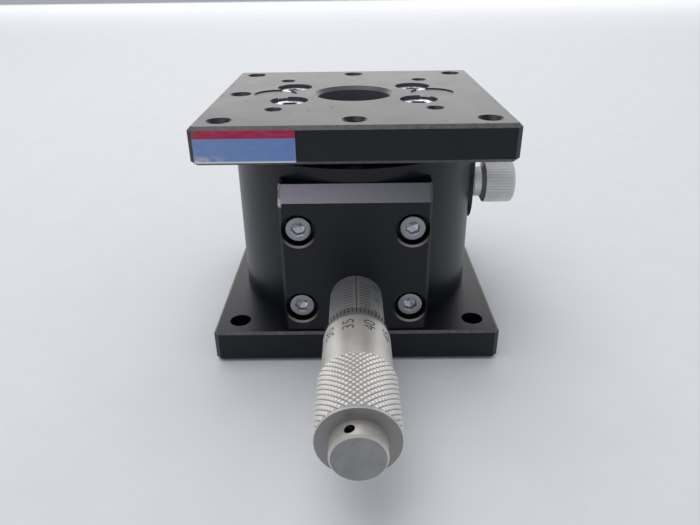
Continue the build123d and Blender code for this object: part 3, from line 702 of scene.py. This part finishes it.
def socket_punch(height, key, depth):
    """The tool that cuts the socket: a hexagon `key` across its flats, with a cone below."""
    clear_selection()
    bpy.ops.mesh.primitive_cylinder_add(
        vertices=6, radius=key / math.sqrt(3), depth=2 * depth,
        location=(0, 0, height), rotation=(0, 0, math.radians(30)),
    )
    punch = start_edit("punch")
    pick("FACE", lambda middle, normal: normal.z < -0.9)
    bpy.ops.mesh.inset(thickness=key * 0.06)
    extrude(-key * 0.22)
    scale(0.05, 0.05)
    leave_edit()
    return punch


def socket_screw(name, head, height, shank, length, key):
    """A screw by the radius and height of its head, the radius and length of its shank, and its key."""

    def on_every_second_edge(middle, normal):
        on_side = 0 <= middle.z < height - head_rim + 0.01 * mm and middle.xy.length > head * 0.999
        return on_side and round(math.atan2(middle.y, middle.x) / math.tau * head_sides) % 2 == 0

    clear_selection()
    bpy.ops.mesh.primitive_cylinder_add(
        vertices=head_sides, radius=head, depth=height, location=(0, 0, height / 2)
    )
    screw = start_edit(name)
    pick("FACE", lambda middle, normal: normal.z > 0.9)
    bpy.ops.mesh.bevel(offset=head_rim, segments=3, affect="EDGES")
    pick("FACE", lambda middle, normal: normal.z > 0.999)
    bpy.ops.mesh.inset(thickness=head * 0.16)
    pick("FACE", lambda middle, normal: normal.z < -0.9)
    bpy.ops.mesh.inset(thickness=head - shank)
    extrude(-(length - shank_tip))
    extrude(-shank_tip)
    scale(0.82, 0.82)
    pick("VERT", on_every_second_edge)
    scale(0.965, 0.965)
    leave_edit()

    punch = socket_punch(height, key, height * 0.52)
    modify(screw, "BOOLEAN", operation="DIFFERENCE", object=punch, solver="EXACT")
    bpy.data.objects.remove(punch)

    edit(screw)
    at_mouth = lambda middle, normal: middle.z > height - 0.001 * mm and middle.xy.length < key * 0.62
    print(name, "socket edges:", pick("EDGE", at_mouth))
    bpy.ops.mesh.bevel(offset=key * 0.05, segments=1, affect="EDGES")
    close_up()
    smooth(screw, 25)
    return screw


# %% [markdown]
# Four M4 screws hold the table down and four M3 screws hold the bracket. Each was tightened until it
# sat fast, so every socket stands at its own angle.

# %% Screws in the table and in the bracket
table_seat, bracket_seat = 45.8 * mm, -26.0 * mm
table_screws = socket_screw("table_screws_detailed", 3.5 * mm, 4.0 * mm, 2.0 * mm, 10.5 * mm, 3.0 * mm)
placings = [
    Matrix.Translation((x * table_screw_x, y * table_screw_y, table_seat)) @ turned_by(socket_turn, "Z")
    for (x, y), socket_turn in zip(corners, (8, 31, 52, 17))
]
table_screws = copies(table_screws, placings)
hand_over(table_screws, "table", bright_steel, "bright_screw", "table_screws")

bracket_screws = socket_screw("bracket_screws_detailed", 2.55 * mm, 2.0 * mm, 1.5 * mm, 5.2 * mm, 2.5 * mm)
bracket_places = [(x * bracket_screw_x, z) for x in (-1, 1) for z in bracket_screw_rows]
placings = [
    Matrix.Translation((x, bracket_seat, z)) @ turned_by(90, "X") @ turned_by(socket_turn, "Z")
    for (x, z), socket_turn in zip(bracket_places, (0, 12, 40, 22))
]
bracket_screws = copies(bracket_screws, placings)
hand_over(bracket_screws, "stage_body", bright_steel, "bright_screw", "bracket_screws")

# %% [markdown]
# ## The thimble
# The thimble is the sleeve that the fingers turn. It starts with a thin bevelled edge that carries
# fifty divisions, runs on as a smooth band with the numbers, and ends in a diamond knurl. A lathe
# piece is a profile swept round its axis, so its profile is drawn by extruding one vertex from point
# to point, and `spin` carries it once round. The axis is drawn upright and laid down afterwards,
# because that keeps the sizes easy to read: `along` is the distance from the bevelled edge.

# %% Thimble body
def turned(name, profile, steps=128):
    """Sweeps (along, radius) points, in millimetres, round the Z axis into a closed ring."""
    clear_selection()
    along, radius = profile[0]
    bpy.ops.mesh.primitive_plane_add(size=mm, location=(0, 0, 0))
    piece = start_edit(name)
    bpy.ops.mesh.merge(type="CENTER")
    bpy.context.tool_settings.mesh_select_mode = (True, False, False)
    pick_all()
    bpy.ops.transform.translate(value=(radius * mm, 0, along * mm))
    for (from_along, from_radius), (to_along, to_radius) in zip(profile, profile[1:] + profile[:1]):
        step = ((to_radius - from_radius) * mm, 0, (to_along - from_along) * mm)
        bpy.ops.mesh.extrude_vertices_move(TRANSFORM_OT_translate={"value": step})
    pick_all()
    bpy.ops.mesh.spin(steps=steps, angle=math.tau, center=(0, 0, 0), axis=(0, 0, 1))
    close_up()
    return piece


thimble_edge = -41.57 * mm
smooth_radius, knurl_radius, under_knurl, knurl_start, thimble_end = 6.1, 6.65, 6.2, 14.83, 28.3
bore_radius, cap_bore_radius, end_wall = 5.36, 2.52, 1.9
bevel_start, bevel_end = (0.06, 5.52), (3.4, 6.08)
thimble = turned(
    "thimble_detailed",
    [
        (0.0, bore_radius), (0.0, 5.46), bevel_start, bevel_end, (3.55, smooth_radius),
        (knurl_start - 0.25, smooth_radius), (knurl_start - 0.1, 5.98), (knurl_start + 0.05, 6.1),
        (knurl_start + 0.3, under_knurl), (thimble_end - 0.5, under_knurl),
        (thimble_end - 0.4, 6.5), (thimble_end - 0.12, 6.55), (thimble_end, 6.43),
        (thimble_end, cap_bore_radius), (thimble_end - end_wall, cap_bore_radius),
        (thimble_end - end_wall, bore_radius),
    ],
)
thimble.data.materials.append(satin_chrome)
print("thimble body measures", in_mm(thimble.dimensions))

# %% [markdown]
# ## The diamond knurl
# A knurling wheel presses two sets of crossing grooves and leaves rows of small pyramids. A flat grid
# is turned by 45 degrees and squeezed, so its squares become diamonds. The strip is trimmed to size,
# and a bend modifier closes it into a ring. Since a whole number of diamonds goes round, the seam
# disappears.

# %% Knurl strip, bent into a ring
diamonds_round, diamond_length, grid_cells = 36, 1.155 * mm, 54
groove_depth, point_height = 0.2 * mm, 0.08 * mm
ring_radius = knurl_radius * mm - groove_depth - point_height
strip_length = math.tau * ring_radius
knurl_length = (thimble_end - knurl_start - 0.75) * mm
half_strip, half_knurl = strip_length / 2, knurl_length / 2
square_diagonal = math.sqrt(2) * mm


def wrap(piece, radius):
    """Bends a flat piece that lies in the XZ plane and faces -Y round the Z axis."""
    across = [vertex.co.x for vertex in piece.data.vertices]
    angle = (max(across) - min(across)) / radius
    modify(piece, "SIMPLE_DEFORM", deform_method="BEND", deform_axis="Z", angle=angle)
    piece.location = (0, -radius, 0)
    settle(piece)


clear_selection()
bpy.ops.mesh.primitive_grid_add(
    x_subdivisions=grid_cells, y_subdivisions=grid_cells, size=grid_cells * mm, location=(0, 0, 0)
)
knurl = start_edit("thimble_knurl")
pick_all()
rotate(45, "Z")
scale(strip_length / diamonds_round / square_diagonal, diamond_length / square_diagonal)
edges = (((1, 0, 0), half_strip), ((-1, 0, 0), half_strip), ((0, 1, 0), half_knurl), ((0, -1, 0), half_knurl))
for outward, reach in edges:
    pick_all()
    bpy.ops.mesh.bisect(plane_co=Vector(outward) * reach, plane_no=outward, clear_outer=True)
pick_all()
bpy.ops.mesh.remove_doubles(threshold=0.005 * mm)
rotate(-90, "X")
leave_edit()
wrap(knurl, ring_radius)
print("ring of the knurl", in_mm(knurl.dimensions))

# %% [markdown]
# Once the ring is closed, the half diamonds on both sides of the seam are joined by dissolving the
# edges between them. Only then is every diamond inset and lifted, so that no seam is left.

# %% Lift the diamonds
edit(knurl)
pick_all()
bpy.ops.mesh.remove_doubles(threshold=0.005 * mm)
bpy.ops.mesh.normals_make_consistent(inside=False)
bpy.context.tool_settings.mesh_select_mode = (False, True, False)
bpy.ops.mesh.select_all(action="DESELECT")
mesh = bmesh.from_edit_mesh(knurl.data)
for edge in mesh.edges:
    one, other = (end.co for end in edge.verts)
    if max(abs(one.x), abs(other.x)) < 0.01 * mm and min(one.y, other.y) > 0 and not edge.is_boundary:
        edge.select_set(True)
print("seam edges dissolved:", sum(edge.select for edge in mesh.edges))
bmesh.update_edit_mesh(knurl.data)
bpy.ops.mesh.dissolve_edges(use_verts=False)
bpy.context.tool_settings.mesh_select_mode = (False, False, True)
pick_all()
bpy.ops.mesh.inset(thickness=0.17 * mm, depth=groove_depth, use_individual=True)
bpy.ops.mesh.poke(offset=point_height)
leave_edit()
print("lifted knurl", in_mm(knurl.dimensions))

# %% [markdown]
# The ends of the knurl are turned down to the plain diameter, so its two open rims are pulled in and
# meet the body. Then knurl and body are joined, because on the real thimble they are one piece.

# %% Close the knurl's ends and join it to the thimble
rim_length, rim_shrink = 0.22 * mm, smooth_radius * mm / ring_radius
for sign in (-1, 1):
    edit(knurl)
    picked = pick("EDGE", lambda middle, normal: abs(middle.z - sign * half_knurl) < 0.002 * mm)
    bpy.ops.mesh.extrude_edges_move(TRANSFORM_OT_translate={"value": (0, 0, sign * rim_length)})
    scale(rim_shrink, rim_shrink)
    leave_edit()
    print("edges on this rim:", picked)
edit(knurl)
close_up()
settle(knurl, Matrix.Translation((0, 0, (knurl_start + 0.3) * mm + half_knurl)))
knurl.data.materials.append(knurl_chrome)


def lie_along_micrometer(along=0.0, degrees=0.0):
    """From upright at the origin to lying on the micrometer's axis, `along` metres behind the edge."""
    place = Matrix.Translation((0, thimble_edge - along, micrometer_axis[2]))
    return place @ turned_by(degrees, "Y") @ turned_by(90, "X")


smooth(thimble)
thimble = join([thimble, knurl])
settle(thimble, lie_along_micrometer())
hand_over(thimble, "thimble_and_spindle", satin_chrome, "satin_chrome", "thimble")

# %% [markdown]
# ## Graduations
# The marks on a micrometer are engraved and filled with ink. Each is a thin plate, a hundredth of a
# millimetre proud of the metal, so it catches no light of its own and never flickers against the
# surface below. One mark is made for each kind and copied. The marks that run round the barrel, and
# the numbers, are bent with the same helper as the knurl.

# %% Marks as thin plates
mark_thickness = 0.02 * mm


def flat_mark(name, length_round, length_along, radius, slices=1):
    """A plate in the XZ plane that faces -Y, bent round the Z axis when it has slices."""
    clear_selection()
    bpy.ops.mesh.primitive_grid_add(x_subdivisions=slices, y_subdivisions=1, size=mm, location=(0, 0, 0))
    mark = start_edit(name)
    pick_all()
    scale(length_round / mm, length_along / mm)
    rotate(-90, "X")
    leave_edit()
    return finish_mark(mark, radius, slices > 1)


def finish_mark(mark, radius, bent):
    """Bends or places a flat mark at its radius and gives it its thickness."""
    if bent:
        wrap(mark, radius)
    else:
        settle(mark, Matrix.Translation((0, -radius, 0)))
    modify(mark, "SOLIDIFY", thickness=mark_thickness, offset=0.0)
    return mark


def at_angle(degrees, along):
    """Where a mark goes: `degrees` from the top towards +X, `along` metres from the thimble's edge."""
    return lie_along_micrometer(along, degrees) @ turned_by(180, "Z")


print("a mark at 0 degrees sits at", in_mm(at_angle(0, 0) @ Vector((0, -1 * mm, 0))))

# %% [markdown]
# The thimble has fifty divisions, and it reads 37 where the machine stands now. Each division leans
# back with the bevel that it is engraved in.

# %% Fifty divisions on the bevel
divisions_round, reading = 50, 37.0
degrees_each = 360 / divisions_round
division_middle, division_radius = 2.1 * mm, 5.86 * mm
bevel_slope = math.atan2(bevel_end[1] - bevel_start[1], bevel_end[0] - bevel_start[0])
division = flat_mark("thimble_divisions", 0.2 * mm, 2.5 * mm, 0.0)
lean = Matrix.Translation((0, -division_radius, 0)) @ Matrix.Rotation(-bevel_slope, 4, "X")
divisions = copies(
    division,
    [at_angle((n - reading) * degrees_each, division_middle) @ lean for n in range(divisions_round)],
)
hand_over(divisions, "thimble_and_spindle", mark_ink, "black_steel")

# %% [markdown]
# A number starts as a text object. It is made a mesh, sliced across so that it can bend, laid along
# the barrel and wrapped. Numbers are read from the side, so their tops point round the barrel.

# %% Numbers on the thimble
def number(text, height, length, radius, placing):
    """A number with digits `height` tall; `length` is that of two digits, read along the barrel."""
    clear_selection()
    bpy.ops.object.text_add(location=(0, 0, 0))
    words = bpy.context.active_object
    words.data.body, words.data.size = text, height
    words.data.align_x = words.data.align_y = "CENTER"
    words.data.resolution_u, words.data.offset = 3, -0.01 * height
    bpy.ops.object.convert(target="MESH")
    glyph = start_edit("number_" + text)
    points = [vertex.co for vertex in bmesh.from_edit_mesh(glyph.data).verts]
    low_x, high_x = min(point.x for point in points), max(point.x for point in points)
    low_y, high_y = min(point.y for point in points), max(point.y for point in points)
    pick_all()
    bpy.ops.transform.translate(value=(-(low_x + high_x) / 2, -(low_y + high_y) / 2, 0))
    scale(length / ((high_x - low_x) * 2 / len(text)), height / (high_y - low_y))
    for n in range(-3, 4):
        pick_all()
        bpy.ops.mesh.bisect(plane_co=(0, n * height / 7, 0), plane_no=(0, 1, 0))
    pick_all()
    bpy.ops.mesh.quads_convert_to_tris()
    bpy.ops.mesh.remove_doubles(threshold=0.002 * mm)
    leave_edit()
    up, read = Vector((1, 0, 0)), Vector((0, 0, -1))
    settle(glyph, Matrix((read, up, read.cross(up))).transposed().to_4x4())
    glyph.data.materials.clear()
    finish_mark(glyph, radius, True)
    settle(glyph, placing)
    return glyph


numbers = join([
    number(str(n), 2.1 * mm, 2.9 * mm, smooth_radius * mm, at_angle((n - reading) * degrees_each, 6.2 * mm))
    for n in range(0, divisions_round, 5)
])
numbers.name = "thimble_numbers"
hand_over(numbers, "thimble_and_spindle", mark_ink, "black_steel")

# %% [markdown]
# The sleeve has one long line to read against, a mark for every millimetre on its one side and for
# every half millimetre on the other. Zero lies just in front of the bracket.

# %% Lines and numbers on the sleeve
sleeve_radius, zero_line, line_width = 5.3 * mm, -31.2 * mm, 0.17 * mm
index_length, index_middle = 16.0 * mm, bracket_front - 8.05 * mm
whole_angle, half_angle, number_angle = -15.5, 19, 47


def along_from(y):
    return thimble_edge - y


def sleeve_marks(name, degrees_long, angle, first, count):
    """`count` marks, one millimetre apart, that each run `degrees_long` round the sleeve."""
    mark = flat_mark(name, sleeve_radius * math.radians(degrees_long), line_width, sleeve_radius, 6)
    return copies(mark, [at_angle(angle, along_from(zero_line - (first + n) * mm)) for n in range(count)])


index_line = flat_mark("sleeve_scale", 0.19 * mm, index_length, sleeve_radius)
index_line = copies(index_line, [at_angle(0, along_from(index_middle))])
whole = sleeve_marks("whole_millimetres", 19, whole_angle, 0, 14)
half = sleeve_marks("half_millimetres", 22, half_angle, 0.5, 13)
sleeve_numbers = [
    number(str(n), 1.6 * mm, 2.0 * mm, sleeve_radius, at_angle(number_angle, along_from(zero_line - n * mm)))
    for n in (0, 5, 10)
]
sleeve_scale = join([index_line, whole, half, *sleeve_numbers])
hand_over(sleeve_scale, "stage_body", mark_ink, "black_steel")

# %% [markdown]
# ## The clamp knob
# The knob is turned with a neck and a chamfered face, and a straight knurl is rolled into its side.
# It is drawn from one circle by extruding and scaling, as it would be by hand. The circle has four
# corners for each flute, so afterwards two of every four are drawn in along the knurl.

# %% Knob with a straight knurl
flutes, knob_radius, stud_radius = 46, 4.95, 2.02
knob_from = 27.68 * mm
clear_selection()
bpy.ops.mesh.primitive_circle_add(
    vertices=4 * flutes, radius=stud_radius * mm, location=(0, 0, 7.6 * mm), fill_type="NGON"
)
knob = start_edit("clamp_knob_detailed")
pick_all()
radius = stud_radius
steps = [
    (-7.3, 0), (-0.3, 0.25), (0, 1.13), (0.15, 0.15), (1.57, 0), (0.1, 0.1), (0.65, 1.0), (0.1, 0.3),
    (5.95, 0), (0.3, -0.1), (0.3, -0.25), (0.2, -0.45), (0.0, -1.6), (-0.12, -0.15), (0.0, -1.6),
]
for along, outward in steps:
    extrude(along * mm)
    shrink = (radius + outward) / radius
    scale(shrink, shrink)
    radius += outward


def in_a_flute(middle, normal):
    corner = round(math.atan2(middle.y, middle.x) / math.tau * 4 * flutes)
    return middle.xy.length > (knob_radius - 0.4) * mm and corner % 4 in (0, 1)


print("knurl corners drawn in:", pick("VERT", in_a_flute))
scale(0.955, 0.955)
close_up()
settle(knob, Matrix.Translation((knob_from, 0, knob_axis[2])) @ turned_by(90, "Y"))
smooth(knob, 30)
across = [vertex.co.x for vertex in knob.data.vertices]
print("knob reaches from", round(min(across) / mm, 2), "to", round(max(across) / mm, 2))
hand_over(knob, "clamp_knob", knob_silver, "clear_anodised", "clamp_knob")

# %% [markdown]
# ## Threads in the tapped holes
# The table's small holes are tapped, and the thread shows as a fine spiral inside each mouth. One
# ridge is a small triangle carried up round the hole by a screw modifier, and is copied to all holes
# of its size.

# %% Thread ridges
def thread_ridge(name, hole_radius, pitch, depth, height):
    clear_selection()
    bpy.ops.mesh.primitive_circle_add(vertices=3, radius=mm, location=(0, 0, 0), fill_type="NOTHING")
    ridge = start_edit(name)
    pick_all()
    rotate(90, "X")
    scale(height / (1.5 * mm), 1, pitch * 0.42 / mm)
    bpy.ops.transform.translate(value=(hole_radius - height / 2, 0, 0))
    leave_edit()
    modify(
        ridge, "SCREW", steps=20, render_steps=20,
        screw_offset=pitch, iterations=int(depth / pitch), use_merge_vertices=False,
    )
    edit(ridge)
    pick_all()
    bpy.ops.mesh.fill_holes(sides=3)
    close_up()
    return ridge


hole_span, small_hole_span = 25.0 * mm, 16.0 * mm
thread_low, thread_depth = table_bottom + 0.5 * mm, 5.6 * mm
m4 = thread_ridge("table_threads", 1.64 * mm, 0.7 * mm, thread_depth, 0.2 * mm)
m4_places = corners + [(0, -1), (0, 1), (-1, 0)]
m4 = copies(m4, [Matrix.Translation((x * hole_span, y * hole_span, thread_low)) for x, y in m4_places])
m3 = thread_ridge("small_threads", 1.24 * mm, 0.5 * mm, thread_depth, 0.16 * mm)
m3 = copies(
    m3, [Matrix.Translation((x * small_hole_span, y * small_hole_span, thread_low)) for x, y in corners]
)
threads = join([m4, m3])
smooth(threads, 30)
hand_over(threads, "table", dark_steel, "black_anodised")

# %% [markdown]
# ## Floor, light and camera
# A pale matt floor, one large soft lamp overhead and a pale sky light the metal as a small studio
# tent does.

# %% Floor
clear_selection()
bpy.ops.mesh.primitive_plane_add(size=6, location=(0, 0, 0))
floor = bpy.context.active_object
floor.name = "floor"
paper = Finish("Pale paper", specular=0.2)
fibre = paper.noise(paper.place(), 12 * mm, 5.0)
paper_colour = paper.blend(fibre, srgb(226, 228, 232), srgb(234, 235, 238))
pale_paper = paper.finish(paper_colour, paper.span(fibre, 0, 1, 0.7, 0.9), paper.bump(fibre, 0.05 * mm))
floor.data.materials.append(pale_paper)

# %% [markdown]
# The sky lights the metal with half its brightness but looks brighter itself, so the background
# stays pale while the black pieces stay black. A wide lamp behind gives the table its soft sheen.

# %% Lights
sky_light, extra_when_seen = 0.5, 0.3
world = bpy.data.worlds.new("Pale sky")
world.use_nodes = True
sky = world.node_tree.nodes["Background"]
sky.inputs["Color"].default_value = (0.9, 0.94, 1.0, 1.0)
seen = world.node_tree.nodes.new("ShaderNodeLightPath").outputs["Is Camera Ray"]
brightness = world.node_tree.nodes.new("ShaderNodeMath")
brightness.operation = "MULTIPLY_ADD"
world.node_tree.links.new(seen, brightness.inputs[0])
brightness.inputs[1].default_value = extra_when_seen
brightness.inputs[2].default_value = sky_light
world.node_tree.links.new(brightness.outputs[0], sky.inputs["Strength"])
bpy.context.scene.world = world


def soft_lamp(name, place, aim, size, power):
    lamp = bpy.data.lights.new(name, "AREA")
    lamp.shape, lamp.size, lamp.size_y, lamp.energy = "RECTANGLE", *size, power
    lamp.color = (1.0, 0.985, 0.96)
    holder = bpy.data.objects.new(name, lamp)
    bpy.context.scene.collection.objects.link(holder)
    holder.location = place
    holder.visible_camera = False
    holder.rotation_euler = (Vector(aim) - Vector(place)).to_track_quat("-Z", "Y").to_euler()
    print(name, "at", in_mm(place), "gives", power, "watts")


soft_lamp("Ceiling lamp", (-0.15, 0.1, 0.8), (0, 0, 0.03), (0.9, 0.6), 3.0)
soft_lamp("Bright wall", (0, 1.3, 0.42), (0, 0, 0.05), (2.4, 0.8), 9.0)

# %% [markdown]
# The camera stands a little above the table in front of the micrometer and looks down on it. Its
# turn is given by the ways to its right and up, and it looks against their cross product.

# %% Camera
camera_place = (-0.000436, -0.133579, 0.075666)
right_way = Vector((0.9999313, 0.00086436, -0.01168976))
up_way = Vector((0.01005048, 0.44998218, 0.89298098))
eye = bpy.data.cameras.new("Camera")
eye.sensor_width, eye.lens = 36, 30.37
eye.clip_start, eye.clip_end = 0.005, 20
camera = bpy.data.objects.new("Camera", eye)
bpy.context.scene.collection.objects.link(camera)
turn = Matrix((right_way, up_way, right_way.cross(up_way))).transposed()
camera.matrix_world = Matrix.Translation(camera_place) @ turn.to_4x4()
bpy.context.scene.camera = camera
bpy.context.scene.view_settings.view_transform = "Standard"
print("camera at", in_mm(camera_place))
